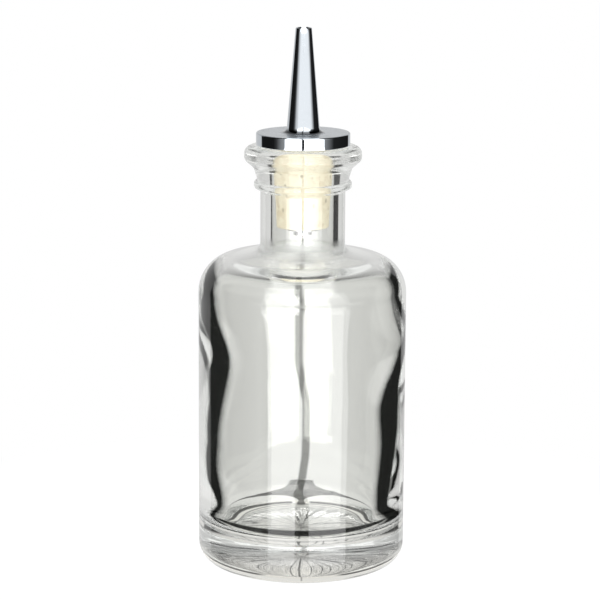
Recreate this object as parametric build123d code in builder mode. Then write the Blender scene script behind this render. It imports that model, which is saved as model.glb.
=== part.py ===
from build123d import *
from math import radians, sqrt, tan
import os

# A heavy glass dash bottle for cocktail bitters, closed by a cork stopper
# that carries a chromed cap and a tapered pouring spout.
# All lengths are in millimetres. The origin is the centre of the base, +Z is up.

# Bottle body, base and shoulder
body_radius = 32.5
body_wall = 4.6
straight_height = 87.0
shoulder_rounding = 11.5
shoulder_slope = 11.0
heel_rounding = 6.5
bearing_width = 2.4
punt_rise = 3.5
base_thickness = 11.8
floor_rounding = 5.9
floor_flat = 1.0
floor_dome = 1.7

# Bottle neck and mouth
bottle_height = 132.7
bore_radius = 9.6
neck_wall = 3.6
neck_foot_rounding = 2.0
bore_foot_rounding = 4.0
mouth_rounding = 0.8

# The lip with its slanted underside, the flared waist under it and the bead under the waist
lip_height = 6.6
lip_face = 4.1
lip_overhang = 2.9
lip_top_rounding = 2.2
lip_edge_rounding = 1.8
lip_foot_rounding = 0.6
flank_wall = 5.75
flank_length = 4.1
waist_wall = 4.55
bead_height = 2.1
bead_depth = 1.05
bead_slant = 1.0
bead_rounding_share = 0.75
bead_foot_rounding = 0.5
waist_rounding_share = 0.1

# Chromed cap and the plastic core that fills it
cap_radius = 14.6
cap_height = 3.8
cap_wall = 0.8
cap_edge_rounding = 0.4
core_edge_rounding = 0.3

# Pouring spout, with a flared foot and a spigot that goes down through the cap
spout_height = 32.4
spout_foot_radius = 5.2
spout_tip_radius = 2.5
spout_tip_rounding = 0.3
spout_foot_rounding = 1.65
foot_rim_width = 0.2
foot_rim_thickness = 0.25
outlet_radius = 1.8
outlet_edge_rounding = 0.2
spigot_radius = 4.2

# Pour tube, which holds the stopper together
tube_radius = 3.0
tube_wall = 0.5
tube_socket_depth = 6.0
tube_overhang = 2.5

# Cork: its top stands out of the mouth and rests on the mouth's rounding, then a seat and a slow taper
cork_stand = 0.5
cork_swell = 0.4
cork_length = 25.0
cork_seat_length = 2.5
cork_ease_length = 1.5
cork_taper_radius = 9.1
cork_end_radius = 8.1
cork_edge_rounding = 0.5

# Collar that backs the cork, and the plug that slows the flow to drops
collar_radius = 5.2
collar_height = 1.0
collar_edge_rounding = 0.25
restrictor_length = 6.0
restrictor_rim_thickness = 0.8
drop_hole_radius = 0.75

# Clearances
cork_clearance = 0.05
fitted_clearance = 0.03

# Places worked out from the sizes above
half_turn = radians((90 - shoulder_slope) / 2)
slope_rise = tan(radians(shoulder_slope))
neck_radius = bore_radius + neck_wall
shoulder_corner = straight_height + shoulder_rounding * tan(half_turn)
neck_foot = shoulder_corner + (body_radius - neck_radius) * slope_rise
inner_radius = body_radius - body_wall
inner_rounding = shoulder_rounding - body_wall
inner_corner = straight_height + inner_rounding * tan(half_turn)
bore_foot = inner_corner + (inner_radius - bore_radius) * slope_rise
punt_radius = body_radius - heel_rounding - bearing_width
dome_radius = inner_radius - floor_rounding - floor_flat

lip_bottom = bottle_height - lip_height
flank_radius = bore_radius + flank_wall
lip_radius = flank_radius + lip_overhang
lip_edge = bottle_height - lip_face
waist_radius = bore_radius + waist_wall
bead_top = lip_bottom - flank_length
bead_bottom = bead_top - bead_height
bead_foot = bead_bottom - bead_slant
bead_radius = waist_radius + bead_depth
bead_rounding = bead_rounding_share * min(bead_depth, bead_height / 2)
waist_rounding = waist_rounding_share * bead_depth

cap_bottom = bottle_height + cork_stand
cap_top = cap_bottom + cap_height
cap_underside = cap_top - cap_wall
cap_hole_radius = spigot_radius + fitted_clearance
shell_bore_radius = cap_radius - cap_wall
core_radius = shell_bore_radius - fitted_clearance

spout_top = cap_top + spout_height
foot_rim_top = cap_top + foot_rim_thickness
foot_rim_radius = spout_foot_radius + spout_foot_rounding + foot_rim_width
socket_top = cap_bottom + tube_socket_depth
socket_radius = tube_radius + fitted_clearance

cork_swell_radius = bore_radius + cork_swell
cork_swell_drop = bottle_height - bore_radius - (2 - sqrt(2)) * mouth_rounding
cork_seat_radius = bore_radius - cork_clearance
cork_seat_bottom = bottle_height - cork_seat_length
cork_ease_bottom = cork_seat_bottom - cork_ease_length
cork_bottom = bottle_height - cork_length
collar_bottom = cork_bottom - collar_height
tube_bottom = cork_bottom - tube_overhang
restrictor_radius = tube_radius - tube_wall - fitted_clearance


# Glass bottle: one thick blown wall round a cavity, with a shallow punt under the base
with BuildPart() as glass_bottle:
    with BuildSketch(Plane.XZ):
        with BuildLine():
            FilletPolyline(
                (punt_radius, 0),
                (body_radius, 0),
                (body_radius, shoulder_corner),
                (neck_radius, neck_foot),
                (neck_radius, bead_foot),
                (bead_radius, bead_bottom),
                (bead_radius, bead_top),
                (waist_radius, bead_top),
                (flank_radius, lip_bottom),
                (lip_radius, lip_edge),
                (lip_radius, bottle_height),
                (bore_radius, bottle_height),
                (bore_radius, bore_foot),
                (inner_radius, inner_corner),
                (inner_radius, base_thickness),
                (dome_radius, base_thickness),
                radius=[
                    heel_rounding,
                    shoulder_rounding,
                    neck_foot_rounding,
                    bead_foot_rounding,
                    bead_rounding,
                    bead_rounding,
                    waist_rounding,
                    lip_foot_rounding,
                    lip_edge_rounding,
                    lip_top_rounding,
                    mouth_rounding,
                    bore_foot_rounding,
                    inner_rounding,
                    floor_rounding,
                ],
            )
            TangentArc((0, base_thickness + floor_dome), (dome_radius, base_thickness), tangent=(1, 0))
            Line((0, base_thickness + floor_dome), (0, punt_rise))
            TangentArc((0, punt_rise), (punt_radius, 0), tangent=(1, 0))
        make_face()
    revolve(axis=Axis.Z)
glass_bottle.part.label = "glass_bottle"

# Cap shell: a thin drawn cup, open below, with a hole for the spout's spigot
with BuildPart() as cap_shell:
    with BuildSketch(Plane.XZ):
        with BuildLine():
            FilletPolyline(
                (cap_hole_radius, cap_top),
                (cap_radius, cap_top),
                (cap_radius, cap_bottom),
                (shell_bore_radius, cap_bottom),
                (shell_bore_radius, cap_underside),
                (cap_hole_radius, cap_underside),
                (cap_hole_radius, cap_top),
                radius=[0, cap_edge_rounding, 0, 0, 0, 0],
            )
        make_face()
    revolve(axis=Axis.Z)
cap_shell.part.label = "cap_shell"

# Cap core: the disc inside the shell, which sits on the cork
with BuildPart() as cap_core:
    with BuildSketch(Plane.XZ):
        with BuildLine():
            FilletPolyline(
                (cap_hole_radius, cap_underside),
                (core_radius, cap_underside),
                (core_radius, cap_bottom),
                (cap_hole_radius, cap_bottom),
                (cap_hole_radius, cap_underside),
                radius=[0, core_edge_rounding, 0, 0],
            )
        make_face()
    revolve(axis=Axis.Z)
cap_core.part.label = "cap_core"

# Spout: a hollow cone on a flared foot, with a socketed spigot below the foot
with BuildPart() as spout:
    with BuildSketch(Plane.XZ):
        with BuildLine():
            FilletPolyline(
                (outlet_radius, spout_top),
                (spout_tip_radius, spout_top),
                (spout_foot_radius, foot_rim_top),
                (foot_rim_radius, foot_rim_top),
                (foot_rim_radius, cap_top),
                (spigot_radius, cap_top),
                (spigot_radius, cap_bottom),
                (socket_radius, cap_bottom),
                (socket_radius, socket_top),
                (outlet_radius, socket_top),
                (outlet_radius, spout_top),
                radius=[
                    outlet_edge_rounding,
                    spout_tip_rounding,
                    spout_foot_rounding,
                    0,
                    0,
                    0,
                    0,
                    0,
                    0,
                    0,
                ],
            )
        make_face()
    revolve(axis=Axis.Z)
spout.part.label = "spout"

# Stopper cork: bored through for the pour tube
with BuildPart() as stopper_cork:
    with BuildSketch(Plane.XZ):
        with BuildLine():
            FilletPolyline(
                (socket_radius, cap_bottom),
                (cork_swell_radius, cap_bottom),
                (cork_swell_radius, cork_swell_radius + cork_swell_drop),
                (cork_seat_radius, cork_seat_radius + cork_swell_drop),
                (cork_seat_radius, cork_seat_bottom),
                (cork_taper_radius, cork_ease_bottom),
                (cork_end_radius, cork_bottom),
                (socket_radius, cork_bottom),
                (socket_radius, cap_bottom),
                radius=[0, 0, 0, 0, cork_edge_rounding, cork_edge_rounding, cork_edge_rounding, 0],
            )
        make_face()
    revolve(axis=Axis.Z)
stopper_cork.part.label = "stopper_cork"

# Pour tube: from its socket in the spout down through the cork
with BuildPart() as pour_tube:
    with BuildSketch(Plane.XY.offset(tube_bottom)):
        Circle(tube_radius)
        Circle(tube_radius - tube_wall, mode=Mode.SUBTRACT)
    extrude(amount=socket_top - tube_bottom)
pour_tube.part.label = "pour_tube"

# Tube collar: a ring on the tube that keeps the cork against the cap
with BuildPart() as tube_collar:
    with BuildSketch(Plane.XY.offset(collar_bottom)):
        Circle(collar_radius)
        Circle(socket_radius, mode=Mode.SUBTRACT)
    extrude(amount=collar_height)
    collar_rim = tube_collar.edges().filter_by(GeomType.CIRCLE).group_by(Axis.Z)[0].sort_by(SortBy.RADIUS)[-1]
    fillet(collar_rim, radius=collar_edge_rounding)
tube_collar.part.label = "tube_collar"

# Restrictor: a plug with a rim, pressed up into the tube's lower end
with BuildPart() as restrictor:
    with BuildSketch(Plane.XY.offset(tube_bottom)):
        Circle(restrictor_radius)
    extrude(amount=restrictor_length)
    with BuildSketch(Plane.XY.offset(tube_bottom)):
        Circle(tube_radius)
    extrude(amount=-restrictor_rim_thickness)
    Hole(radius=drop_hole_radius)
restrictor.part.label = "restrictor"

pieces = (
    glass_bottle,
    cap_shell,
    cap_core,
    spout,
    stopper_cork,
    pour_tube,
    tube_collar,
    restrictor,
)
for piece in pieces:
    export_step(piece.part, f"parts/{piece.part.label}.step")
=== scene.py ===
"""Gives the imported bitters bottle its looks: clear glass, a chromed cap and spout, and a cork stopper."""

import functools
import math

import bpy
import numpy as np
from bpy.props import FloatProperty, FloatVectorProperty, IntProperty, PointerProperty
from mathutils import Matrix, Vector


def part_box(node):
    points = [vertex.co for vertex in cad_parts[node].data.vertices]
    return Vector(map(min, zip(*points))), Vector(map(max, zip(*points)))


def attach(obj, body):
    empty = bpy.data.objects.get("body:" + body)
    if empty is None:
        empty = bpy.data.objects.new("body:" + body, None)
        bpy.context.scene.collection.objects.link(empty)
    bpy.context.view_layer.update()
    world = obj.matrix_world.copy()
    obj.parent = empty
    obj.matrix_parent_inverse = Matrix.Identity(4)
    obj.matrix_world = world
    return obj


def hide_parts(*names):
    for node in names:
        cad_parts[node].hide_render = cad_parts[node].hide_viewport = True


bl_info = {
    "name": "Bitters bottle",
    "version": (1, 0, 0),
    "blender": (4, 5, 0),
    "location": "3D View > Sidebar > Bottle",
    "description": "Dresses a bitters bottle: glass, chrome, cork and the parts inside the stopper",
    "category": "Add Mesh",
}

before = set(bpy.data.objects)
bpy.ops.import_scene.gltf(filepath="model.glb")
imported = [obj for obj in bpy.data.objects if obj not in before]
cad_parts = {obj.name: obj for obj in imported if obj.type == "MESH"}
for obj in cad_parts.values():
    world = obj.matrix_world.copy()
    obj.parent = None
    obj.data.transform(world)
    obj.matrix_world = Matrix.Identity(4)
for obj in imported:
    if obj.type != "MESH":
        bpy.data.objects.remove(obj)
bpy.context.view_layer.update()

MM = 0.001
GLASS_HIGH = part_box("glass_bottle")[1]
CAP_LOW, CAP_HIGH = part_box("cap_shell")
SPOUT_LOW, SPOUT_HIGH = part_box("spout")
CORK_LOW, CORK_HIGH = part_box("stopper_cork")
TUBE_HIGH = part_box("pour_tube")[1]
MOUTH_ROUNDING = 0.8 * MM
# Radius of the holes that hold the pour tube
TUBE_HOLE = 3.03 * MM


# Sizes and colours that a user would change


def length(name, words, default):
    """A length in metres, shown in the scene's unit."""
    return FloatProperty(
        name=name, description=words, default=default, subtype="DISTANCE", unit="LENGTH", precision=5
    )


def angle(name, words, degrees):
    """An angle, given in degrees."""
    return FloatProperty(name=name, description=words, default=math.radians(degrees), subtype="ANGLE")


def colour(name, words, default):
    """A linear colour."""
    return FloatVectorProperty(name=name, description=words, default=default, size=3, min=0, max=1, subtype="COLOR")


def count(name, words, default):
    """A number of faces."""
    return IntProperty(name=name, description=words, default=default, min=48)


class BottleGlass(bpy.types.PropertyGroup):
    """The glass bottle's outline, its uneven inner wall and its tint."""

    body_radius: length("Body radius", "Radius of the straight side", GLASS_HIGH.x)
    height: length("Height", "From the table to the lip's top", GLASS_HIGH.z)
    body_wall: length("Body wall", "Mean glass thickness of the side", 4.6 * MM)
    straight_height: length("Straight height", "Where the shoulder begins to turn in", 87.0 * MM)
    shoulder_rounding: length("Shoulder rounding", "Radius of the shoulder's arc", 11.5 * MM)
    shoulder_slope: angle("Shoulder slope", "How steeply the shoulder's top rises", 11)
    heel_rounding: length("Heel rounding", "Radius of the edge round the base", 6.5 * MM)
    bearing_width: length("Bearing width", "Width of the ring that the bottle stands on", 2.4 * MM)
    punt_rise: length("Punt rise", "How far the base is domed up in the middle", 3.5 * MM)
    base_thickness: length("Base thickness", "Height of the cavity's floor over the table", 11.8 * MM)
    floor_rounding: length("Floor rounding", "Radius of the cavity's lower corner", 5.9 * MM)
    floor_dome: length("Floor dome", "How far the cavity's floor rises in the middle", 1.7 * MM)
    bore_radius: length("Bore radius", "Radius of the neck's bore", 9.6 * MM)
    neck_wall: length("Neck wall", "Glass thickness of the neck", 3.6 * MM)
    lip_height: length("Lip height", "From the underside of the lip to its top", 6.6 * MM)
    lip_face: length("Lip face", "Height of the lip's outer face", 4.1 * MM)
    lip_overhang: length("Lip overhang", "How far the lip stands out over the flank", 2.9 * MM)
    flank_wall: length("Flank wall", "Glass thickness under the lip", 5.75 * MM)
    flank_length: length("Flank length", "Height of the flared part under the lip", 4.1 * MM)
    waist_wall: length("Waist wall", "Glass thickness over the bead", 4.55 * MM)
    bead_height: length("Bead height", "Height of the bead's face", 2.1 * MM)
    bead_depth: length("Bead depth", "How far the bead stands out", 1.05 * MM)
    wave_depth: length("Wave depth", "Depth of the slow waves in the blown inner wall", 0.06 * MM)
    tint: colour("Tint", "Colour that the glass gives to what is seen through it", (0.995, 1.0, 0.975))
    base_tint: colour("Base tint", "Colour that the thick base gives to what is seen", (0.985, 0.965, 0.89))
    turns: count("Turns", "Faces round the bottle", 236)


class StopperMetal(bpy.types.PropertyGroup):
    """The chromed cap and spout."""

    cap_edge: length("Cap edge", "Rounding of the cap's top edge", 0.4 * MM)
    cap_wall: length("Cap wall", "Thickness of the drawn cap", 0.8 * MM)
    foot_rounding: length("Foot rounding", "Hollow rounding where the spout meets the cap", 1.65 * MM)
    foot_radius: length("Foot radius", "Radius of the spout's cone at its foot", 5.2 * MM)
    tip_radius: length("Tip radius", "Radius of the spout's cone at its tip", 2.5 * MM)
    outlet_radius: length("Outlet radius", "Radius of the hole through the spout", 1.8 * MM)
    chrome: colour("Chrome", "Colour of the chrome plate", (0.65, 0.69, 0.73))
    turns: count("Turns", "Faces round the cap and the spout", 192)


class StopperCork(bpy.types.PropertyGroup):
    """The cork and the plastic inside the stopper."""

    seat_radius: length("Seat radius", "Radius of the cork where it is squeezed in the mouth", 9.55 * MM)
    seat_length: length("Seat length", "How far below the mouth the squeezed part reaches", 2.5 * MM)
    ease_length: length("Ease length", "Length of the step under the seat", 1.5 * MM)
    taper_radius: length("Taper radius", "Radius at the top of the long taper", 9.1 * MM)
    end_radius: length("End radius", "Radius of the cork's lower end", 8.1 * MM)
    edge_rounding: length("Edge rounding", "Rounding of the cork's edges", 0.5 * MM)
    pale: colour("Pale cork", "Colour of the pale grains", (0.76, 0.69, 0.55))
    brown: colour("Brown cork", "Colour of the darker grains", (0.57, 0.46, 0.32))
    plastic: colour("Plastic", "Colour of the moulded core and plug", (0.82, 0.82, 0.79))
    turns: count("Turns", "Faces round the cork", 160)


class StudioStage(bpy.types.PropertyGroup):
    """The floor, the studio round the object and the camera."""

    camera_distance: length("Camera distance", "From the camera to the bottle's axis", 826 * MM)
    camera_pitch: angle("Camera pitch", "How far the camera looks down", 11.6)
    camera_roll: angle("Camera roll", "Lean of the camera", 0.3)
    aim_height: length("Aim height", "Height that the camera looks at", 84 * MM)
    aim_side: length("Aim side", "How far left of the axis the camera looks", 0.72 * MM)
    lens: FloatProperty(name="Lens", description="Focal length in millimetres", default=158.1)
    box_strength: FloatProperty(
        name="Soft box strength", description="How bright the soft boxes are mirrored", default=10.0
    )
    floor_size: length("Floor size", "Width of the floor", 6000 * MM)


# Outlines and surfaces

# Points of an outline that lie nearer each other than this are one point
MERGE = 1e-7
ARC_STEP = math.radians(7.5)
DOME_STEPS = 24


def straight_run(start, end, pitch):
    """Points evenly along a straight line, both ends included."""
    steps = max(1, math.ceil(np.linalg.norm(end - start) / pitch))
    return start + (end - start) * np.linspace(0, 1, steps + 1)[:, None]


def rounded_outline(corners, pitch):
    """Points along straight runs joined by arcs, as an array of (radius, height) in metres.

    Each corner is (radius, height, rounding). It is cut back along both runs by its rounding times the tangent of
    half the turn, and an arc of that rounding joins the two cuts. Runs are divided evenly at about the pitch, and
    arcs every few degrees. The two ends are left sharp.
    """
    rows = np.array(corners, float)
    places = rows[:, :2]
    pieces = [places[:1]]
    for before, corner, after, rounding in zip(places, places[1:], places[2:], rows[1:, 2]):
        inward = (corner - before) / np.linalg.norm(corner - before)
        onward = (after - corner) / np.linalg.norm(after - corner)
        turn = math.atan2(inward[0] * onward[1] - inward[1] * onward[0], inward @ onward)
        start = corner - inward * rounding * math.tan(abs(turn) / 2)
        side = np.array([-inward[1], inward[0]]) * math.copysign(1, turn)
        spoke = -side * rounding
        angles = np.linspace(0, turn, max(3, math.ceil(abs(turn) / ARC_STEP)) + 1)
        arc = start - spoke + np.stack(
            [
                spoke[0] * np.cos(angles) - spoke[1] * np.sin(angles),
                spoke[0] * np.sin(angles) + spoke[1] * np.cos(angles),
            ],
            axis=1,
        )
        pieces.append(straight_run(pieces[-1][-1], start, pitch)[1:])
        pieces.append(arc)
    pieces.append(straight_run(pieces[-1][-1], places[-1], pitch)[1:])
    points = np.concatenate(pieces)
    apart = np.linalg.norm(np.diff(points, axis=0), axis=1) > MERGE
    return points[np.concatenate([[True], apart])]


def dome_line(edge_radius, edge_height, rise):
    """Points along a shallow dome from its rim to its crown: the height falls from the crown as the square of the
    radius."""
    radii = np.linspace(edge_radius, 0, DOME_STEPS + 1)
    return np.stack([radii, edge_height + rise * (1 - (radii / edge_radius) ** 2)], axis=1)


def lathe(name, outline, turns, closed=False, shift=None):
    """A surface of revolution about the vertical axis.

    Point (i, j) stands at radius r[i] + shift(angle[j], i) and height z[i], at angle j of a full turn counted from
    the front (-Y) towards the right (+X). A row on the axis is one pole vertex with a fan of triangles, and a closed
    outline joins its last row to its first. The outline runs so that the glass or metal lies on its left.
    """
    angles = np.linspace(0, 2 * math.pi, turns, endpoint=False)
    radii = outline[:, 0][:, None] + np.zeros(turns)
    if shift is not None:
        radii = radii + shift(angles[None, :], np.arange(len(outline))[:, None])
    heights = np.repeat(outline[:, 1][:, None], turns, axis=1)
    grid = np.stack([radii * np.sin(angles), -radii * np.cos(angles), heights], axis=2)
    poles = [i for i in (0, len(outline) - 1) if outline[i, 0] < MERGE]
    rows = np.array([i for i in range(len(outline)) if i not in poles])
    points = grid[rows].reshape(-1, 3)
    index = np.arange(len(rows) * turns).reshape(len(rows), turns)
    lower = index if closed else index[:-1]
    upper = np.roll(index, -1, axis=0) if closed else index[1:]
    ahead = np.roll(lower, -1, axis=1), np.roll(upper, -1, axis=1)
    faces = np.stack([lower, ahead[0], ahead[1], upper], axis=2).reshape(-1, 4).tolist()
    for pole in poles:
        ring = index[0] if pole == 0 else index[-1]
        crown = np.full(turns, len(points))
        points = np.concatenate([points, [[0, 0, outline[pole, 1]]]])
        pair = (np.roll(ring, -1), ring) if pole == 0 else (ring, np.roll(ring, -1))
        faces += np.stack([pair[0], pair[1], crown], axis=1).tolist()
    mesh = bpy.data.meshes.new(name)
    mesh.from_pydata(points, [], faces)
    mesh.polygons.foreach_set("use_smooth", np.ones(len(mesh.polygons), bool))
    mesh.update()
    piece = bpy.data.objects.new(name, mesh)
    bpy.context.scene.collection.objects.link(piece)
    return piece


# Shader nodes


class Nodes:
    """Adds nodes to one tree. All but feed and node give the output of what they add."""

    def __init__(self, tree):
        self.tree = tree

    def feed(self, node, inputs):
        """Sets each input of a node to the value given for it, or links it to the socket given for it."""
        for key, value in inputs.items():
            if isinstance(value, bpy.types.NodeSocket):
                self.tree.links.new(value, node.inputs[key])
            else:
                node.inputs[key].default_value = value

    def node(self, kind, inputs=None, **settings):
        """A shader node of the given kind with its settings and its inputs."""
        node = self.tree.nodes.new("ShaderNode" + kind)
        for key, value in settings.items():
            setattr(node, key, value)
        self.feed(node, inputs or {})
        return node

    def math(self, operation, *values, clamp=False):
        """The output of a Math node."""
        node = self.node("Math", dict(enumerate(values)), operation=operation, use_clamp=clamp)
        return node.outputs[0]

    def scaled(self, value, scale, shift, clamp=False):
        """The value times the scale, with the shift added."""
        return self.math("MULTIPLY_ADD", value, scale, shift, clamp=clamp)

    def product(self, *values):
        """All the values multiplied."""
        return functools.reduce(lambda first, second: self.math("MULTIPLY", first, second), values)

    def largest(self, *values):
        """The largest of the values."""
        return functools.reduce(lambda first, second: self.math("MAXIMUM", first, second), values)

    def distance(self, value, middle):
        """How far the value lies from the middle, to either side."""
        return self.math("ABSOLUTE", self.math("SUBTRACT", value, middle))

    def blend(self, factor, first, second):
        """The output of a blend of two values: the first where the factor is 0, and the second where it is 1."""
        values = {"Factor": factor, "A": first, "B": second}
        return self.node("Mix", values, data_type="FLOAT").outputs[0]

    def step(self, above, below, width):
        """Rises from 0 to 1 as the first value passes the second, over a width."""
        return self.scaled(self.math("SUBTRACT", above, below), 1 / width, 0.5, clamp=True)

    def band(self, value, low, high, width):
        """1 between two edges and 0 beyond them, with a soft step at each."""
        return self.product(self.step(value, low, width), self.step(high, value, width))

    def mix(self, factor, first, second):
        """The output of a colour mix."""
        return self.node("Mix", {0: factor, 6: first, 7: second}, data_type="RGBA").outputs[2]

    def ramp(self, factor, stops, interpolation="LINEAR"):
        """The output of a colour ramp with grey stops, each given as (place, grey)."""
        node = self.node("ValToRGB", {"Fac": factor})
        ramp = node.color_ramp
        ramp.interpolation = interpolation
        while len(ramp.elements) < len(stops):
            ramp.elements.new(1.0)
        for element, (place, grey) in zip(ramp.elements, stops):
            element.position = place
            element.color = (grey, grey, grey, 1)
        return node.outputs["Color"]

    def noise(self, vector, scale, detail, roughness=0.5):
        """The grey output of a noise."""
        inputs = {"Vector": vector, "Scale": scale, "Detail": detail, "Roughness": roughness}
        return self.node("TexNoise", inputs).outputs["Fac"]

    def bump(self, height, strength, distance, **before):
        """The normal that a bump gives, on top of the normal of the one before it, where there is one."""
        inputs = {"Strength": strength, "Distance": distance, "Height": height, **before}
        return self.node("Bump", inputs).outputs["Normal"]


def wide(rgb, shade=1.0):
    """A colour with full alpha, darkened by the shade."""
    return (*(shade * part for part in rgb), 1.0)


def object_point(add, scale=(1, 1, 1)):
    """The object's own coordinates, stretched along its axes."""
    place = add.node("TexCoord").outputs["Object"]
    return add.node("Mapping", {"Vector": place, "Scale": scale}).outputs["Vector"]


def new_group(name, inputs, outputs):
    """An empty node group with named sockets. Each input is (name, type, default), and each output (name, type)."""
    group = bpy.data.node_groups.new(name, "ShaderNodeTree")
    for socket_name, kind, default in inputs:
        socket = group.interface.new_socket(socket_name, in_out="INPUT", socket_type=kind)
        socket.default_value = default
    for socket_name, kind in outputs:
        group.interface.new_socket(socket_name, in_out="OUTPUT", socket_type=kind)
    return group, group.nodes.new("NodeGroupInput"), group.nodes.new("NodeGroupOutput")


def handling_marks():
    """A group that gives masks of faint smudges and of fine upright scratches, for the polished surfaces."""
    name = "handling marks"
    if name in bpy.data.node_groups:
        return bpy.data.node_groups[name]
    inputs = [
        ("Vector", "NodeSocketVector", (0, 0, 0)),
        ("Smudge Scale", "NodeSocketFloat", 60),
        ("Scratch Scale", "NodeSocketFloat", 900),
    ]
    outputs = [("Smudges", "NodeSocketFloat"), ("Scratches", "NodeSocketFloat")]
    group, given, result = new_group(name, inputs, outputs)
    add = Nodes(group)
    point, smudge_scale, scratch_scale = given.outputs[:3]
    cloud = add.noise(point, smudge_scale, 5, 0.6)
    upright = add.node("Mapping", {"Vector": point, "Scale": (1, 1, 0.04)}).outputs[0]
    lines = add.noise(upright, scratch_scale, 2)
    smudges = add.ramp(cloud, [(0.50, 0), (0.72, 1)], "EASE")
    scratches = add.ramp(lines, [(0.66, 0), (0.72, 1)])
    add.feed(result, {"Smudges": smudges, "Scratches": scratches})
    return group


def touch_marks(add, smudge_scale, scratch_scale):
    """The smudges and the scratches of the handling marks, at the given scales."""
    inputs = {"Vector": object_point(add), "Smudge Scale": smudge_scale, "Scratch Scale": scratch_scale}
    node = add.node("Group", inputs, node_tree=handling_marks())
    return node.outputs["Smudges"], node.outputs["Scratches"]


def new_material(name):
    """A material with the adder of its nodes, its Principled shader and its output."""
    material = bpy.data.materials.new(name)
    material.use_nodes = True
    nodes = material.node_tree.nodes
    return material, Nodes(material.node_tree), nodes["Principled BSDF"], nodes["Material Output"]


def round_place(add):
    """Where the point stands round the axis: the direction away from the axis, the radius and the height."""
    axes = add.node("SeparateXYZ", {"Vector": object_point(add)}).outputs
    flat = add.node("CombineXYZ", {"X": axes[0], "Y": axes[1]}).outputs[0]
    radius = add.node("VectorMath", {0: flat}, operation="LENGTH").outputs["Value"]
    outward = add.node("VectorMath", {0: flat}, operation="NORMALIZE").outputs["Vector"]
    return outward, radius, axes[2]


# Glass

# A face of the body nearer the axis than this belongs to the cavity
CAVITY_REACH = 31.0 * MM
# The cavity's upright wall, and how much higher it reaches at the left and right
WALL_FOOT = 16 * MM
WALL_TOP = 84 * MM
WALL_TOP_RISE = 9.0 * MM
# The rim of the cavity's floor and the outline where the wall turns into it, both painted dark as shade; the outline
# begins higher seen edge on
FLOOR_RIM = 22.0 * MM
FLOOR_HEIGHTS = (11 * MM, 13 * MM)
TURN_FOOT = 13.9 * MM
TURN_FOOT_RISE = 13 * MM
TURN_TOP = 17.7 * MM
# The painted shade on the rounded edge round the base, how far to each side of the middle it is clear, as a sine, and
# the height of the painted contact shadow on the line that the bottle stands on
HEEL_REACH = 26.5 * MM
HEEL_HEIGHTS = (3.0 * MM, 6.0 * MM)
HEEL_CLEAR = 0.10
STANDING_HEIGHT = 0.35 * MM
# The underside with its cast marks, and the height up to which the glass has the base's tint
UNDERSIDE_REACH = 26.3 * MM
UNDERSIDE_TOP = 5 * MM
BASE_TOP = 7 * MM
# How fine the cast marks are round the axis and outwards, and how far off its middle the noise gives a crease, which
# is painted dark as shade
MARKS_ROUND = 12
MARKS_OUTWARDS = 50
CREASE_WIDTH = 0.018
# Where the smudges end, and the parts with a rough skin: the bead and the lip, and the foot of the bore
SMUDGE_TOP = 100 * MM
BEAD_FOOT = 118 * MM
BEAD_REACH = 11 * MM
LIP_FOOT = 126 * MM
BORE_FOOT_HEIGHTS = (92 * MM, 104 * MM)
BORE_FOOT_REACH = 14.5 * MM
# How strongly each painted dark part is drawn, from none to all
TURN_DARK = 0.98
RIM_DARK = 0.7
HEEL_DARK = 0.95
CONTACT_SHADOW_DARK = 0.5
CREASE_PAINTED_SHADE = 0.85
# Light that has met the glass this many times is let out of it straight
DEEPEST_TURN = 5.5
LET_OUT = (0.93, 0.94, 0.93, 1)
# Near black colour of the painted shade and painted reflections in the glass
PAINTED_DARK = (0.022, 0.023, 0.022, 1)

# Where the glass is painted dark as a painted reflection of the black flags that a ray inside it would mirror,
# meeting the cavity's wall so flat: the height, and the least and the most of the Layer Weight node's Facing, on the
# left half and on the right half
BAND_TOP = 100
BAND_LEFT = (
    (0, 0.217, 0.27), (22, 0.217, 0.27), (28, 0.217, 0.32), (41, 0.199, 0.286), (54, 0.217, 0.322),
    (64, 0.217, 0.395), (78, 0.217, 0.395), (83, 0.22, 0.36), (87, 0.228, 0.34), (96, 0.217, 0.322),
)
BAND_RIGHT = (
    (0, 0.225, 0.335), (22, 0.225, 0.335), (28, 0.217, 0.345), (41, 0.217, 0.345), (54, 0.217, 0.37),
    (64, 0.24, 0.345), (70, 0.217, 0.322), (76, 0.28, 0.345), (82, 0.26, 0.32), (87, 0.247, 0.30),
    (96, 0.217, 0.322),
)
# How softly the bands begin on the side of the bottle's middle and end on the outer side
BAND_SOFT_INWARDS = 0.055
BAND_SOFT_OUTWARDS = 0.024


def layer_facing(add):
    """The Facing of a Layer Weight node: 0 where a face is met straight on, and 1 where it is met edge on."""
    return add.node("LayerWeight", {"Blend": 0.5}).outputs["Facing"]


def met_from_inside(add):
    """1 where a face is met from inside the glass."""
    return add.node("NewGeometry").outputs["Backfacing"]


def cavity_wall(add, sideways, radius, height):
    """1 on the cavity's upright wall, and 0 elsewhere. At the left and right it reaches up the shoulder."""
    top = add.scaled(add.product(sideways, sideways), WALL_TOP_RISE, WALL_TOP)
    return add.product(
        add.math("LESS_THAN", radius, CAVITY_REACH),
        add.math("GREATER_THAN", height, WALL_FOOT),
        add.step(top, height, 1.5 * MM),
    )


def painted_flag_bands(add, sideways, radius, height):
    """A painted reflection of the black flags: 1 where a ray inside the glass meets the cavity's wall at the angles
    of the two tables, and there the glass is painted dark.
    """
    place = add.math("MULTIPLY", height, 1 / (BAND_TOP * MM))
    right = add.scaled(sideways, 0.5, 0.5, clamp=True)
    least, most = (
        add.blend(
            right,
            add.ramp(place, [(row[0] / BAND_TOP, row[column]) for row in BAND_LEFT]),
            add.ramp(place, [(row[0] / BAND_TOP, row[column]) for row in BAND_RIGHT]),
        )
        for column in (1, 2)
    )
    facing = layer_facing(add)
    return add.product(
        cavity_wall(add, sideways, radius, height),
        met_from_inside(add),
        add.step(facing, least, BAND_SOFT_INWARDS),
        add.step(most, facing, BAND_SOFT_OUTWARDS),
    )


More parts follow.
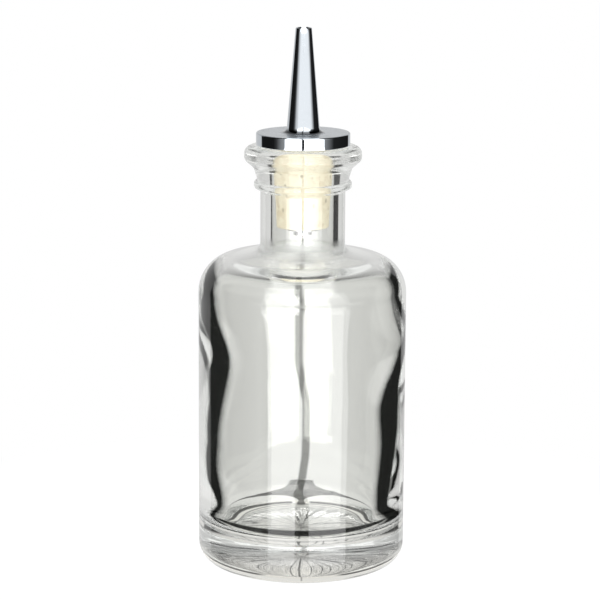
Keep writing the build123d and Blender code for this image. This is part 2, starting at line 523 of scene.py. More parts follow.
def painted_floor_outlines(add, radius, height):
    """Painted shade on the cavity's floor: the outline where the wall turns into it, seen from inside the glass and
    thinner to the sides, and the rim of the flat part, seen from the cavity, both painted dark."""
    foot = add.scaled(layer_facing(add), TURN_FOOT_RISE, TURN_FOOT)
    turn = add.product(
        add.step(height, foot, 0.7 * MM),
        add.step(TURN_TOP, height, 0.5 * MM),
        add.math("LESS_THAN", radius, CAVITY_REACH),
        TURN_DARK,
    )
    rim = add.product(
        add.step(0.5 * MM, add.distance(radius, FLOOR_RIM), 0.5 * MM),
        add.math("GREATER_THAN", height, FLOOR_HEIGHTS[0]),
        add.math("LESS_THAN", height, FLOOR_HEIGHTS[1]),
        RIM_DARK,
    )
    return add.blend(met_from_inside(add), rim, turn)


def heel_shade(add, sideways, radius, height):
    """Painted shade: the upper half of the rounded edge round the base, painted dark where it is met from inside the
    glass, with a clear stretch in front and behind, and a painted contact shadow along the thin line on which the
    bottle stands."""
    heel = add.product(
        met_from_inside(add),
        add.step(add.math("ABSOLUTE", sideways), HEEL_CLEAR, 0.03),
        add.step(radius, HEEL_REACH, 1.0 * MM),
        add.band(height, *HEEL_HEIGHTS, 1.0 * MM),
        HEEL_DARK,
    )
    painted_contact_shadow = add.product(add.step(STANDING_HEIGHT, height, 0.3 * MM), CONTACT_SHADOW_DARK)
    return add.largest(heel, painted_contact_shadow)


def knurled_base(add, outward, radius, height):
    """A mask of the underside, a height for its cast radial marks, which is noise that is fine round the axis and
    long outwards from it, and a mask of thin creases where a slower noise of that kind passes its middle, which are
    painted dark as shade."""
    low = add.math("LESS_THAN", height, UNDERSIDE_TOP)
    under = add.product(add.step(UNDERSIDE_REACH, radius, 0.6 * MM), low)
    round_axis = add.node("VectorMath", {0: outward, "Scale": MARKS_ROUND}, operation="SCALE").outputs[0]
    outwards = add.node("CombineXYZ", {"Z": add.product(radius, MARKS_OUTWARDS)}).outputs[0]
    place = add.node("VectorMath", {0: round_axis, 1: outwards}, operation="ADD").outputs[0]
    marks = add.noise(place, 1.6, 2)
    off = add.distance(add.noise(place, 0.35, 1, 0.4), 0.5)
    return under, marks, add.product(add.step(CREASE_WIDTH, off, 0.012), under)


def glass_roughness(add, radius, height, under):
    """Faint smudges on the body, and a slightly rough skin where the glass was pressed: on the lip and the bead, at
    the foot of the bore and on the underside."""
    smudges, _ = touch_marks(add, 55, 700)
    rough = add.product(smudges, add.step(SMUDGE_TOP, height, 6 * MM), 0.02)
    mouth = add.product(add.step(height, BEAD_FOOT, 2 * MM), add.step(radius, BEAD_REACH, 1 * MM))
    rough = add.blend(mouth, rough, add.blend(add.step(height, LIP_FOOT, 2 * MM), 0.07, 0.16))
    bore_foot = add.product(add.band(height, *BORE_FOOT_HEIGHTS, 2 * MM), add.step(BORE_FOOT_REACH, radius, 1.5 * MM))
    return add.blend(under, add.blend(bore_foot, rough, 0.22), 0.15)


def glass_material(settings):
    """Clear flint glass, which lets lamps through to what stands behind it, and lets trapped light out. It is painted
    near black in places: a painted reflection of the black flags in two bands, painted shade along the outlines of
    the cavity's floor, in the creases of the underside and on the heel, and a painted contact shadow on the line it
    stands on.
    """
    material, add, shader, output = new_material("clear glass")
    outward, radius, height = round_place(add)
    sideways = add.node("SeparateXYZ", {"Vector": outward}).outputs["X"]
    in_base = add.step(BASE_TOP, height, 3 * MM)
    tint = add.mix(in_base, wide(settings.tint), wide(settings.base_tint))
    under, knurls, creases = knurled_base(add, outward, radius, height)
    rough = glass_roughness(add, radius, height, under)
    cords = add.noise(object_point(add, (1, 1, 0.25)), 160, 1)
    drawn = add.bump(cords, 0.06, 0.2 * MM)
    cast = add.bump(add.product(knurls, under), 0.8, 0.6 * MM, Normal=drawn)
    look = {"Base Color": tint, "Transmission Weight": 1, "IOR": 1.52, "Roughness": rough, "Normal": cast}
    add.feed(shader, look)
    path = add.node("LightPath").outputs
    lamplight = add.largest(path["Is Shadow Ray"], path["Is Diffuse Ray"])
    trapped = add.math("GREATER_THAN", path["Ray Depth"], DEEPEST_TURN)
    painted_dark_marks = add.largest(
        painted_flag_bands(add, sideways, radius, height),
        painted_floor_outlines(add, radius, height),
        add.product(creases, CREASE_PAINTED_SHADE),
        heel_shade(add, sideways, radius, height),
    )
    # Painted shade and painted reflections: the marked places show near black, except to lamp light
    dark = add.math("SUBTRACT", painted_dark_marks, lamplight, clamp=True)
    clear = add.node("BsdfTransparent", {"Color": add.mix(dark, LET_OUT, PAINTED_DARK)})
    through = add.largest(lamplight, trapped, painted_dark_marks)
    mix = add.node("MixShader", {0: through, 1: shader.outputs[0], 2: clear.outputs[0]})
    add.feed(output, {"Surface": mix.outputs[0]})
    return material


# Metal, cork and plastic


def chrome_material(name, settings, satin=0.0):
    """Bright chrome plate with fine polishing lines and a few smudges, with painted shade in the corner round the
    spout's foot, and with a satin top face on the cap."""
    material, add, shader, _ = new_material(name)
    smudges, scratches = touch_marks(add, 220, 2600)
    _, radius, height = round_place(add)
    # Painted shade: the chrome is painted near black in the corner round the spout's foot
    corner = add.product(
        add.step(6.6 * MM, radius, 1.2 * MM),
        add.step(CAP_HIGH.z + 1.1 * MM, height, 0.9 * MM),
        0.85,
    )
    tone = add.mix(smudges, wide(settings.chrome), wide(settings.chrome, 0.94))
    tone = add.mix(corner, tone, (0.02, 0.02, 0.022, 1))
    rough = add.scaled(scratches, 0.05, add.scaled(smudges, 0.05, 0.035))
    rough = add.scaled(add.step(height, CAP_HIGH.z - 0.06 * MM, 0.08 * MM), satin, rough)
    bump = add.bump(scratches, 0.02, 0.02 * MM)
    add.feed(shader, {"Base Color": tone, "Metallic": 1, "Roughness": rough, "Normal": bump})
    return material


def cork_material(settings):
    """Pale cork: pressed grains of two shades with darker seams and small dark pits."""
    material, add, shader, _ = new_material("cork")
    grains = add.node("TexVoronoi", {"Vector": object_point(add), "Scale": 620, "Randomness": 1})
    tone = add.node("SeparateColor", {"Color": grains.outputs["Color"]}).outputs[0]
    cloud = add.noise(object_point(add), 260, 4)
    shade = add.ramp(add.product(tone, cloud), [(0.15, 0), (0.85, 0.8)])
    base = add.mix(shade, wide(settings.pale), wide(settings.brown))
    pits = {"Vector": object_point(add, (1, 1, 0.5)), "Scale": 420, "Randomness": 1}
    pits = add.node("TexVoronoi", pits).outputs["Distance"]
    dark = add.ramp(pits, [(0.10, 1), (0.22, 0)])
    pitted = add.mix(add.product(dark, 0.6), base, wide(settings.brown, 0.35))
    height = add.math("SUBTRACT", add.product(grains.outputs["Distance"], -0.4), dark)
    bump = add.bump(height, 0.5, 0.2 * MM)
    add.feed(shader, {"Base Color": pitted, "Roughness": 0.85, "Normal": bump})
    return material


def plastic_material(name, settings, milkiness):
    """Moulded white plastic with a fine matt grain."""
    material, add, shader, _ = new_material(name)
    grain = add.noise(object_point(add), 1800, 3)
    cloud = add.noise(object_point(add), 120, 2)
    look = {
        "Base Color": add.mix(cloud, wide(settings.plastic), wide(settings.plastic, 0.93)),
        "Roughness": add.scaled(grain, 0.2, 0.35),
        "Subsurface Weight": milkiness,
        "Subsurface Scale": 1 * MM,
        "Normal": add.bump(grain, 0.15, 0.05 * MM),
    }
    add.feed(shader, look)
    return material


def steel_material(name, along):
    """Drawn or stamped stainless steel, with fine lines that run along the given stretch."""
    material, add, shader, _ = new_material(name)
    lines = add.noise(object_point(add, along), 2400, 3)
    look = {
        "Base Color": add.mix(lines, (0.46, 0.46, 0.47, 1), (0.62, 0.62, 0.63, 1)),
        "Metallic": 1,
        "Roughness": add.scaled(lines, 0.2, 0.18),
        "Normal": add.bump(lines, 0.2, 0.03 * MM),
    }
    add.feed(shader, look)
    return material


# Glass bottle

# Thick and thin spots of the blown inner wall, each as its angle from the front towards the right, its height, its
# spread round the wall, its spread in height, and how far it stands in from the mean wall
WALL_SWELLS = (
    (-90, 50, 55, 60, 0.1), (-90, 68, 50, 9, 2.0), (-90, 56, 50, 11, 1.0), (-90, 21, 50, 8, 1.0),
    (90, 18, 50, 22, 1.9), (90, 52, 50, 11, 1.1), (90, 70, 45, 8.5, -1.4),
)
# How many degrees of its cosine a swell has turned through at its spread
SWELL_TURN = 65
# The slow waves of the inner wall: their number round it, the height in which they turn by one radian, where they
# start, and their share of the wave's depth
SLOW_WAVES = ((3, 11, 0, 1), (5, -17, 1.3, 0.6), (2, 6, 0.4, 0.4))
# Over this height the uneven wall fades into the even floor and shoulder
WAVE_FADE = 6 * MM


def wall_swell(angles, heights):
    """How far the wall stands in: a sum of bells, each a squared cosine in angle times a Gauss bell in height."""
    total = np.zeros(np.broadcast(angles, heights).shape)
    for turn, height, spread, reach, depth in WALL_SWELLS:
        off = (np.degrees(angles) - turn + 180) % 360 - 180
        round_share = np.cos(np.radians(np.clip(off / spread * SWELL_TURN, -90, 90))) ** 2
        total += depth * MM * round_share * np.exp(-(((heights / MM - height) / reach) ** 2))
    return total


def slow_waves(angles, heights, depth):
    """Slow waves round and up the wall: three sines of different pitch, each turned a little with height, which die
    away in front and behind with the squared sine of the angle."""
    waves = sum(
        part * np.sin(number * angles + heights / MM / rise + start) for number, rise, start, part in SLOW_WAVES
    )
    return depth * np.sin(angles) ** 2 * waves


class BITTERS_OT_glass(bpy.types.Operator):
    """Makes the glass bottle with its uneven inner wall, domed floor and punt"""

    bl_idname = "bitters.make_glass"
    bl_label = "Glass bottle"

    def execute(self, context):
        glass = context.scene.bottle_glass
        half_turn = (math.pi / 2 - glass.shoulder_slope) / 2
        slope = math.tan(glass.shoulder_slope)
        neck_radius = glass.bore_radius + glass.neck_wall
        shoulder_corner = glass.straight_height + glass.shoulder_rounding * math.tan(half_turn)
        neck_foot = shoulder_corner + (glass.body_radius - neck_radius) * slope
        inner_radius = glass.body_radius - glass.body_wall
        inner_rounding = glass.shoulder_rounding - glass.body_wall
        inner_corner = glass.straight_height + inner_rounding * math.tan(half_turn)
        bore_foot = inner_corner + (inner_radius - glass.bore_radius) * slope
        lip_bottom = glass.height - glass.lip_height
        bead_top = lip_bottom - glass.flank_length
        bead_bottom = bead_top - glass.bead_height
        flank_radius = glass.bore_radius + glass.flank_wall
        waist_radius = glass.bore_radius + glass.waist_wall
        bead_radius = waist_radius + glass.bead_depth
        lip_radius = flank_radius + glass.lip_overhang
        punt_radius = glass.body_radius - glass.heel_rounding - glass.bearing_width
        dome_radius = inner_radius - glass.floor_rounding - 1.0 * MM
        in_bore = (glass.bore_radius, (bore_foot + bead_bottom) / 2, 0)
        outer_corners = [
            (punt_radius, 0, 0),
            (glass.body_radius, 0, glass.heel_rounding),
            (glass.body_radius, shoulder_corner, glass.shoulder_rounding),
            (neck_radius, neck_foot, 2.0 * MM),
            (neck_radius, bead_bottom - 1.0 * MM, 0.5 * MM),
            (bead_radius, bead_bottom, 0.8 * MM),
            (bead_radius, bead_top, 0.8 * MM),
            (waist_radius, bead_top, 0.1 * MM),
            (flank_radius, lip_bottom, 0.6 * MM),
            (lip_radius, glass.height - glass.lip_face, 1.8 * MM),
            (lip_radius, glass.height, 2.2 * MM),
            (glass.bore_radius, glass.height, MOUTH_ROUNDING),
            in_bore,
        ]
        inner_corners = [
            in_bore,
            (glass.bore_radius, bore_foot, 4.0 * MM),
            (inner_radius, inner_corner, inner_rounding),
            (inner_radius, glass.base_thickness, glass.floor_rounding),
            (dome_radius, glass.base_thickness, 0),
        ]
        outer = rounded_outline(outer_corners, 1.2 * MM)
        inner = rounded_outline(inner_corners, 1.0 * MM)
        punt = dome_line(punt_radius, 0, glass.punt_rise)[::-1]
        dome = dome_line(dome_radius, glass.base_thickness, glass.floor_dome)
        outline = np.concatenate([punt, outer[1:], inner[1:], dome[1:]])
        inner_start = len(punt) + len(outer) - 1
        low, high = glass.base_thickness + 3 * MM, bore_foot - 2 * MM

        def uneven(angles, rows):
            """How far the cavity's wall stands out, which fades to nothing with a smooth step at its two ends."""
            heights = outline[rows, 1]
            fade = np.clip((heights - low) / WAVE_FADE, 0, 1) * np.clip((high - heights) / WAVE_FADE, 0, 1)
            fade = fade * fade * (3 - 2 * fade)
            swell = wall_swell(angles, heights) + slow_waves(angles, heights, glass.wave_depth)
            return np.where(rows >= inner_start, -swell * fade, 0)

        piece = lathe("bottle_glass", outline, glass.turns, shift=uneven)
        piece.data.materials.append(glass_material(glass))
        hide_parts("glass_bottle")
        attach(piece, "bottle")
        return {"FINISHED"}


# Chromed cap and spout

# How much rougher than the polished plate the cap's top face is
CAP_SATIN = 0.17


class BITTERS_OT_metal(bpy.types.Operator):
    """Makes the chromed cap shell and the spout as finely turned surfaces"""

    bl_idname = "bitters.make_metal"
    bl_label = "Cap and spout"

    def execute(self, context):
        metal = context.scene.stopper_metal
        small = 0.12 * MM
        edge = 0.1 * MM
        step = 0.05 * MM
        rim = 0.02 * MM
        tip = 0.3 * MM
        spigot = 4.2 * MM
        hole = metal.foot_radius - 0.95 * MM
        shell_bore = CAP_HIGH.x - metal.cap_wall
        ceiling = CAP_HIGH.z - metal.cap_wall
        cap_corners = [
            (hole + small, CAP_HIGH.z, 0),
            (CAP_HIGH.x, CAP_HIGH.z, metal.cap_edge),
            (CAP_HIGH.x, CAP_LOW.z, 0.15 * MM),
            (shell_bore, CAP_LOW.z, small),
            (shell_bore, ceiling, small),
            (hole, ceiling, small),
            (hole, CAP_HIGH.z - small, 0),
        ]
        cap = lathe("chrome_cap", rounded_outline(cap_corners, 1.0 * MM)[::-1], metal.turns, closed=True)
        self.finish(cap, "cap_shell", "cap_chrome", metal, CAP_SATIN)
        foot_top = CAP_HIGH.z + step
        spout_corners = [
            (metal.outlet_radius + tip, SPOUT_HIGH.z, 0),
            (metal.tip_radius, SPOUT_HIGH.z, tip),
            (metal.foot_radius, foot_top, metal.foot_rounding),
            (SPOUT_HIGH.x, foot_top, rim),
            (SPOUT_HIGH.x, CAP_HIGH.z, rim),
            (spigot, CAP_HIGH.z, edge),
            (spigot, SPOUT_LOW.z, edge),
            (TUBE_HOLE, SPOUT_LOW.z, edge),
            (TUBE_HOLE, TUBE_HIGH.z, step),
            (metal.outlet_radius, TUBE_HIGH.z, step),
            (metal.outlet_radius, SPOUT_HIGH.z - tip, 0),
        ]
        spout = lathe("chrome_spout", rounded_outline(spout_corners, 1.6 * MM)[::-1], metal.turns, closed=True)
        self.finish(spout, "spout", "spout_chrome", metal)
        return {"FINISHED"}

    def finish(self, piece, node, slot, metal, satin=0.0):
        """Gives the piece its chrome, hides the CAD node that it stands in for, and attaches it to its body."""
        piece.data.materials.append(chrome_material(piece.name, metal, satin))
        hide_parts(node)
        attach(piece, "stopper")


# Cork


class BITTERS_OT_cork(bpy.types.Operator):
    """Makes the cork with its seat, its taper and its rough cut ends"""

    bl_idname = "bitters.make_cork"
    bl_label = "Cork"

    def execute(self, context):
        cork = context.scene.stopper_cork
        glass = context.scene.bottle_glass
        middle = (CORK_HIGH.z + CORK_LOW.z) / 2
        seat_bottom = GLASS_HIGH.z - cork.seat_length
        swell_foot = GLASS_HIGH.z - MOUTH_ROUNDING * (2 - math.sqrt(2)) + cork.seat_radius - glass.bore_radius
        swell_top = swell_foot + CORK_HIGH.x - cork.seat_radius
        edge = cork.edge_rounding
        fine = 0.1 * MM
        corners = [
            (TUBE_HOLE, middle, 0),
            (TUBE_HOLE, CORK_LOW.z, fine),
            (cork.end_radius, CORK_LOW.z, edge),
            (cork.taper_radius, seat_bottom - cork.ease_length, 2 * edge),
            (cork.seat_radius, seat_bottom, edge),
            (cork.seat_radius, swell_foot, fine),
            (CORK_HIGH.x, swell_top, fine),
            (CORK_HIGH.x, CORK_HIGH.z, fine),
            (TUBE_HOLE, CORK_HIGH.z, fine),
            (TUBE_HOLE, middle + 1.0 * MM, 0),
        ]
        piece = lathe("cork", rounded_outline(corners, 0.5 * MM), cork.turns, closed=True)
        piece.data.materials.append(cork_material(cork))
        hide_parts("stopper_cork")
        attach(piece, "stopper")
        return {"FINISHED"}


class BITTERS_OT_inner_parts(bpy.types.Operator):
    """Gives the plastic core, the pour tube, its collar and the restrictor their finishes"""

    bl_idname = "bitters.finish_inner_parts"
    bl_label = "Inner parts"

    def execute(self, context):
        cork = context.scene.stopper_cork
        finishes = {
            "cap_core": plastic_material("core plastic", cork, 0.0),
            "restrictor": plastic_material("plug plastic", cork, 0.4),
            "pour_tube": steel_material("drawn steel", (1, 1, 0.03)),
            "tube_collar": steel_material("stamped steel", (1, 1, 1)),
        }
        for node, material in finishes.items():
            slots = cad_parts[node].material_slots
            if not slots:
                raise RuntimeError(f"{node} has no material slot")
            for slot in slots:
                slot.material = material
        return {"FINISHED"}


# Studio

# What mirrors show, by the angle from the camera's side towards the right, in degrees, as grey levels
FLAGS = (
    (-180, 0.70), (-124, 0.70), (-121, 0.012), (-77, 0.012), (-68, 0.05), (-54, 0.30), (-46, 0.36), (-44, 0.04),
    (54, 0.04), (56, 0.30), (62, 0.22), (80, 0.02), (143, 0.012), (146, 0.70), (180, 0.70),
)
SOFT_BOXES = (
    (-180, 0), (-46, 0), (-44.5, 0.42), (-34, 0.50), (-18, 0.60), (-4.4, 0.95), (-3.2, 0), (3.2, 0), (4.4, 0.95),
    (20, 0.75), (33, 0.50), (53, 0.35), (54.5, 0), (180, 0),
)
# How high the soft boxes reach, with a dimmer stretch at the height that the spout mirrors
BOX_HEIGHTS = (
    (-90, 0), (-11.7, 0), (-11.2, 1.0), (-8.9, 1.0), (-8.4, 0.5), (-2, 0.5), (-1, 0), (4, 0), (5, 0.5), (37, 0.5),
    (39, 0), (90, 0),
)
# A plain light between the boxes' upper and lower parts, at the height that the spout mirrors
FRONT_LIGHT = ((-180, 0), (-64, 0), (-48, 0.42), (-36, 1.0), (50, 1.0), (64, 0.6), (84, 0), (180, 0))
FRONT_HEIGHTS = ((-90, 0), (-2, 0), (-1, 1), (4, 1), (5, 0), (90, 0))
FRONT_STRENGTH = 1.2
# The lower parts of the soft boxes, which the straight side mirrors: the least and the most height over the horizon,
# and the places of the left edge, of the gap in the middle and of the right edge, in degrees round
LOW_BOXES = (-18.5, -10.9)
LEFT_EDGE = ((-18.5, -37), (-15.5, -37.5), (-13.3, -37.5), (-12.5, -39), (-12.0, -42.5), (-11.8, -49), (-10.9, -49))
GAP_PLACE = (
    (-18.5, 0.8), (-15.95, 0.8), (-15.8, -3.7), (-15.5, 0.8), (-15.0, 4.5), (-14.6, 5.2), (-13.8, 5.2),
    (-13.4, 1.0), (-12.95, -3.5), (-11.8, -3.5), (-10.9, -3.0),
)
RIGHT_EDGE = ((-18.5, 50), (-15.7, 51), (-13.8, 52.7), (-12.8, 50.5), (-12.2, 52), (-11.8, 55), (-10.9, 56))
LOW_BOX_TOP = -11.35
LOW_BOX_LEVEL = 0.31
# Half the gap's width in degrees, and how much wider it is under the height where it opens
GAP_HALF = 4.2
GAP_OPENING = 3.6
GAP_OPENS = -15.85
# The greatest angle to either side that the tables of the edges and the gap can hold
WIDEST = 60
# How the backdrop darkens with height, as shares of its level near the table
BACKDROP_FADE = ((-90, 1), (8, 1), (12, 0.93), (25, 0.69), (40, 0.40), (55, 0.20), (68, 0.07), (90, 0.04))
# The table, as the share of it that mirrors show at a height, and its grey level
TABLE_EDGE = ((-90, 1), (-19, 1), (-17.2, 0), (90, 0))
TABLE_LEVEL = 0.8
# What is seen straight through the glass, by degrees over the horizon
THROUGH = ((-90, 0.8), (-26, 0.8), (-20, 0.70), (-11, 0.70), (-9, 0.76), (30, 0.72), (90, 0.6))
# The thin dim line of the backdrop that follows the gap, as a share of the gap's place and a shift, with half the
# line's width and its level over the height where the gap opens, and the change of each under it
SLIT_SHARE = 0.0765
SLIT_SIDE = 0.03
SLIT_HALF = (0.32, 0.7)
SLIT_LEVEL = (0.45, -0.27)
# The soft boxes' upper parts: the angle over the front horizon, the half width across, and the brightness
OVERHEAD = (
    (0, 0.62, 0), (35, 0.62, 0), (40, 0.62, 0.2), (90, 0.36, 0.2), (130, 0.15, 0.2), (142, 0.10, 0), (180, 0.08, 0),
)
# The gap between the upper parts, as shares of their half width: its middle, to the left, and half its width
OVERHEAD_GAP = 0.11
OVERHEAD_GAP_HALF = 0.09
# Ray Depth less Transmission Depth, beyond which light was mirrored at least once, and more than once
MIRRORED_ONCE = 1.5
MIRRORED_TWICE = 2.5
# The softer studio that light mirrored more than once sees: the share left of the studio, its brightest, and the grey
SHARP_SHARE = 0.4
SHARP_LIMIT = 1.5
HAZE_LEVEL = 0.95
# The light that the plain surroundings give to matt surfaces
SURROUNDINGS = 0.55
# The soft lamps, as their places and powers, their width, and the point they are aimed at
LAMPS = ((-0.7, -0.9, 0.6, 9.0), (0.8, -0.9, 0.6, 9.0), (0.0, 0.2, 1.4, 12.0))
LAMP_WIDTH = 0.8
LAMP_AIM = (0, 0, 0.08)
# How far below the bottle the floor lies, and the distances over which it turns from its own shading to white
FLOOR_DROP = 0.02 * MM
FLOOR_FADE = {"From Min": 60 * MM, "From Max": 160 * MM, "To Min": 0.75, "To Max": 1.0}


def round_ramp(add, turn, table):
    """What a table says for the angle round, in degrees."""
    return add.ramp(turn, [((degrees + 180) / 360, grey) for degrees, grey in table])


def height_ramp(add, rise, table):
    """What a table says for the height over the horizon, in degrees."""
    return add.ramp(rise, [((degrees + 90) / 180, grey) for degrees, grey in table])


def edge_line(add, height, table):
    """The angle round that a table gives at a height, both in degrees: a ramp whose greys run from the widest angle
    on the left to the widest on the right."""
    low, high = LOW_BOXES
    place = add.scaled(height, 1 / (high - low), -low / (high - low), clamp=True)
    stops = [((degrees - low) / (high - low), (turn + WIDEST) / (2 * WIDEST)) for degrees, turn in table]
    return add.scaled(add.ramp(place, stops), 2 * WIDEST, -WIDEST)


class BITTERS_OT_stage(bpy.types.Operator):
    """Makes the floor, the studio round the object, the lamps and the camera"""

    bl_idname = "bitters.make_stage"
    bl_label = "Stage"

    def execute(self, context):
        stage = context.scene.studio_stage
        self.make_floor(context.scene, stage)
        self.make_studio(context.scene, stage)
        self.make_lamps(context.scene)
        self.make_camera(context.scene, stage)
        context.scene.view_settings.view_transform = "Standard"
        return {"FINISHED"}

    def make_floor(self, scene, stage):
        """A plain pale floor that mirrors and glass look past, to the studio."""
        half = stage.floor_size / 2
        mesh = bpy.data.meshes.new("floor")
        corners = [(x * half, y * half, -FLOOR_DROP) for x, y in ((-1, -1), (1, -1), (1, 1), (-1, 1))]
        mesh.from_pydata(corners, [], [(0, 1, 2, 3)])
        floor = bpy.data.objects.new("floor", mesh)
        scene.collection.objects.link(floor)
        floor.visible_glossy = False
        floor.visible_transmission = False
        material, add, shader, output = new_material("floor")
        material.node_tree.nodes.remove(shader)
        matt = add.node("BsdfDiffuse", {"Color": (0.9, 0.9, 0.9, 1)})
        glow = add.node("Emission", {"Color": (1, 1, 1, 1), "Strength": 1.0})
        camera_ray = add.node("LightPath").outputs["Is Camera Ray"]
        place = add.node("TexCoord").outputs["Object"]
        away = add.node("VectorMath", {0: place}, operation="LENGTH").outputs["Value"]
        white = add.node("MapRange", {"Value": away, **FLOOR_FADE}).outputs["Result"]
        seen = add.product(camera_ray, white)
        mix = add.node("MixShader", {0: seen, 1: matt.outputs[0], 2: glow.outputs[0]})
        add.feed(output, {"Surface": mix.outputs[0]})
        mesh.materials.append(material)

    def make_studio(self, scene, stage):
        """White to the camera. In mirrors and through glass: soft boxes in front, black flags at the sides, a pale
        backdrop that darkens upwards and a pale table below. Light mirrored more than once sees less contrast."""
        world = bpy.data.worlds.new("studio")
        scene.world = world
        world.use_nodes = True
        world.node_tree.nodes.clear()
        add = Nodes(world.node_tree)
        ray = add.node("TexCoord").outputs["Generated"]
        axes = add.node("SeparateXYZ", {"Vector": ray}).outputs
        nearer = add.product(axes[1], -1)
        turn = add.scaled(add.math("ARCTAN2", axes[0], nearer), 1 / (2 * math.pi), 0.5)
        rise = add.scaled(add.math("ARCSINE", axes[2]), 1 / math.pi, 0.5)
        height = add.scaled(rise, 180, -90)
        sides = add.product(round_ramp(add, turn, FLAGS), height_ramp(add, rise, BACKDROP_FADE))
        around = add.blend(height_ramp(add, rise, TABLE_EDGE), sides, TABLE_LEVEL)
        boxes = add.product(round_ramp(add, turn, SOFT_BOXES), height_ramp(add, rise, BOX_HEIGHTS))
        boxes = add.math("ADD", boxes, self.low_boxes(add, turn, height))
        boxes = add.math("ADD", boxes, self.overhead_boxes(add, axes, nearer))
        sharp = add.scaled(boxes, stage.box_strength, around)
        front = add.product(round_ramp(add, turn, FRONT_LIGHT), height_ramp(add, rise, FRONT_HEIGHTS))
        sharp = add.scaled(front, FRONT_STRENGTH, sharp)
        through = add.product(height_ramp(add, rise, THROUGH), self.slit(add, axes, height))
        hazy = add.blend(SHARP_SHARE, HAZE_LEVEL, add.math("MINIMUM", sharp, SHARP_LIMIT))
        path = add.node("LightPath").outputs
        bounced = add.math("SUBTRACT", path["Ray Depth"], path["Transmission Depth"])
        seen = add.blend(add.math("GREATER_THAN", bounced, MIRRORED_ONCE), through, sharp)
        seen = add.blend(add.math("GREATER_THAN", bounced, MIRRORED_TWICE), seen, hazy)
        mirrored = add.largest(path["Is Glossy Ray"], path["Is Transmission Ray"])
        level = add.blend(mirrored, add.largest(path["Is Camera Ray"], SURROUNDINGS), seen)
        studio = add.node("Background", {"Color": (1, 1, 1, 1), "Strength": level})
        add.node("OutputWorld", {"Surface": studio.outputs[0]})

    def low_boxes(self, add, turn, height):
        """The lower parts of the two soft boxes, between edges that change with height."""
        around = add.scaled(turn, 360, -180)
        half = add.scaled(add.step(GAP_OPENS, height, 0.3), GAP_OPENING, GAP_HALF)
        return add.product(
            LOW_BOX_LEVEL,
            add.step(around, edge_line(add, height, LEFT_EDGE), 2.0),
            add.step(edge_line(add, height, RIGHT_EDGE), around, 2.0),
            add.step(add.distance(around, edge_line(add, height, GAP_PLACE)), half, 1.5),
            add.step(height, LOW_BOXES[0], 1.0),
            add.step(LOW_BOX_TOP, height, 0.7),
        )

    def overhead_boxes(self, add, axes, nearer):
        """The upper parts of the two soft boxes, which lean together over the bottle, with the gap between them."""
        place = add.math("MULTIPLY", add.math("ARCTAN2", axes[2], nearer), 1 / math.pi, clamp=True)
        half, level = (add.ramp(place, [(row[0] / 180, row[column]) for row in OVERHEAD]) for column in (1, 2))
        across = add.math("DIVIDE", axes[0], half)
        return add.product(
            level,
            add.step(1.0, add.math("ABSOLUTE", across), 0.1),
            add.step(add.distance(across, -OVERHEAD_GAP), OVERHEAD_GAP_HALF, 0.05),
        )

    def slit(self, add, axes, height):
        """Dims a thin line of the backdrop straight behind, which follows the gap that the glass mirrors."""
        behind = add.product(add.math("ARCTAN2", axes[0], axes[1]), 180 / math.pi)
        place = add.scaled(edge_line(add, height, GAP_PLACE), SLIT_SHARE, SLIT_SIDE)
        low = add.step(GAP_OPENS, height, 0.3)
        half, level = (add.scaled(low, change, over) for over, change in (SLIT_HALF, SLIT_LEVEL))
        beside = add.step(add.distance(behind, place), half, 0.2)
        return add.blend(beside, level, 1.0)

    def make_lamps(self, scene):
        """Two soft lamps in front and one above, which mirrors and glass don't show."""
        for number, (*place, power) in enumerate(LAMPS):
            lamp = bpy.data.lights.new(f"soft lamp {number + 1}", "AREA")
            lamp.shape = "SQUARE"
            lamp.size = LAMP_WIDTH
            lamp.energy = power
            holder = bpy.data.objects.new(lamp.name, lamp)
            scene.collection.objects.link(holder)
            holder.location = place
            aim = Vector(LAMP_AIM) - holder.location
            holder.rotation_euler = aim.to_track_quat("-Z", "Y").to_euler()
            holder.visible_glossy = False
            holder.visible_transmission = False

    def make_camera(self, scene, stage):
        """A long lens that looks a little down on the bottle, as in the photograph."""
        data = bpy.data.cameras.new("camera")
        data.lens = stage.lens
        data.sensor_width = 36
        data.clip_end = 20
        camera = bpy.data.objects.new("camera", data)
        scene.collection.objects.link(camera)
        pitch = stage.camera_pitch
        back = Vector((0, -math.cos(pitch), math.sin(pitch))) * stage.camera_distance
        camera.location = Vector((-stage.aim_side, 0, stage.aim_height)) + back
        level = Matrix.Rotation(math.pi / 2 - pitch, 4, "X")
        lean = Matrix.Rotation(stage.camera_roll, 4, "Z")
        camera.rotation_euler = (level @ lean).to_euler()
        scene.camera = camera


class VIEW3D_PT_bitters(bpy.types.Panel):
    """Lists the makers of the bitters bottle"""

    bl_label = "Bitters bottle"
    bl_space_type = "VIEW_3D"
    bl_region_type = "UI"
    bl_category = "Bottle"

    def draw(self, context):
        for operator in OPERATORS:
            self.layout.operator(operator.bl_idname)
        for settings in SETTINGS:
            box = self.layout.box()
            group = getattr(context.scene, settings)
            for key in group.bl_rna.properties.keys():
                if key not in ("rna_type", "name"):
                    box.prop(group, key)


OPERATORS = (BITTERS_OT_glass, BITTERS_OT_metal, BITTERS_OT_cork, BITTERS_OT_inner_parts, BITTERS_OT_stage)
SETTINGS = {
    "bottle_glass": BottleGlass,
    "stopper_metal": StopperMetal,
    "stopper_cork": StopperCork,
    "studio_stage": StudioStage,
}


def register():
    """Registers the settings, the operators and the panel."""
    for name, group in SETTINGS.items():
        bpy.utils.register_class(group)
        setattr(bpy.types.Scene, name, PointerProperty(type=group))
    for operator in OPERATORS:
        bpy.utils.register_class(operator)
    bpy.utils.register_class(VIEW3D_PT_bitters)


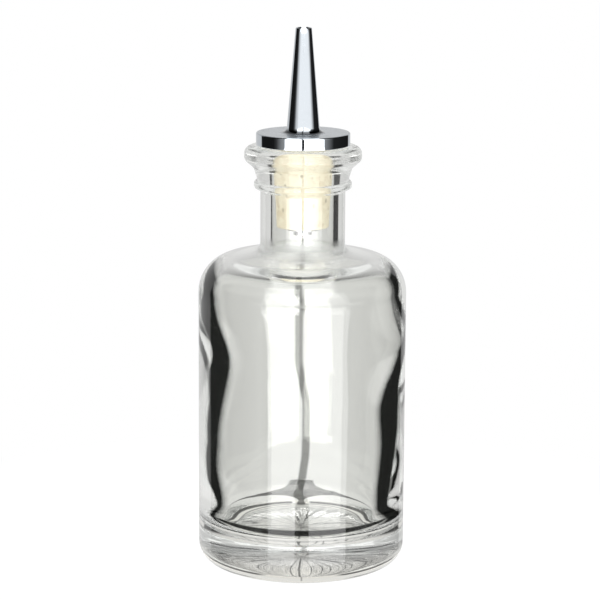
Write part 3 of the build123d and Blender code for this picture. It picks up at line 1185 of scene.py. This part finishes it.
def unregister():
    """Takes them away again."""
    bpy.utils.unregister_class(VIEW3D_PT_bitters)
    for operator in reversed(OPERATORS):
        bpy.utils.unregister_class(operator)
    for name, group in SETTINGS.items():
        delattr(bpy.types.Scene, name)
        bpy.utils.unregister_class(group)


def main():
    """Makes the bottle and its stage."""
    register()
    bpy.ops.bitters.make_glass()
    bpy.ops.bitters.make_metal()
    bpy.ops.bitters.make_cork()
    bpy.ops.bitters.finish_inner_parts()
    bpy.ops.bitters.make_stage()


if __name__ == "__main__":
    main()
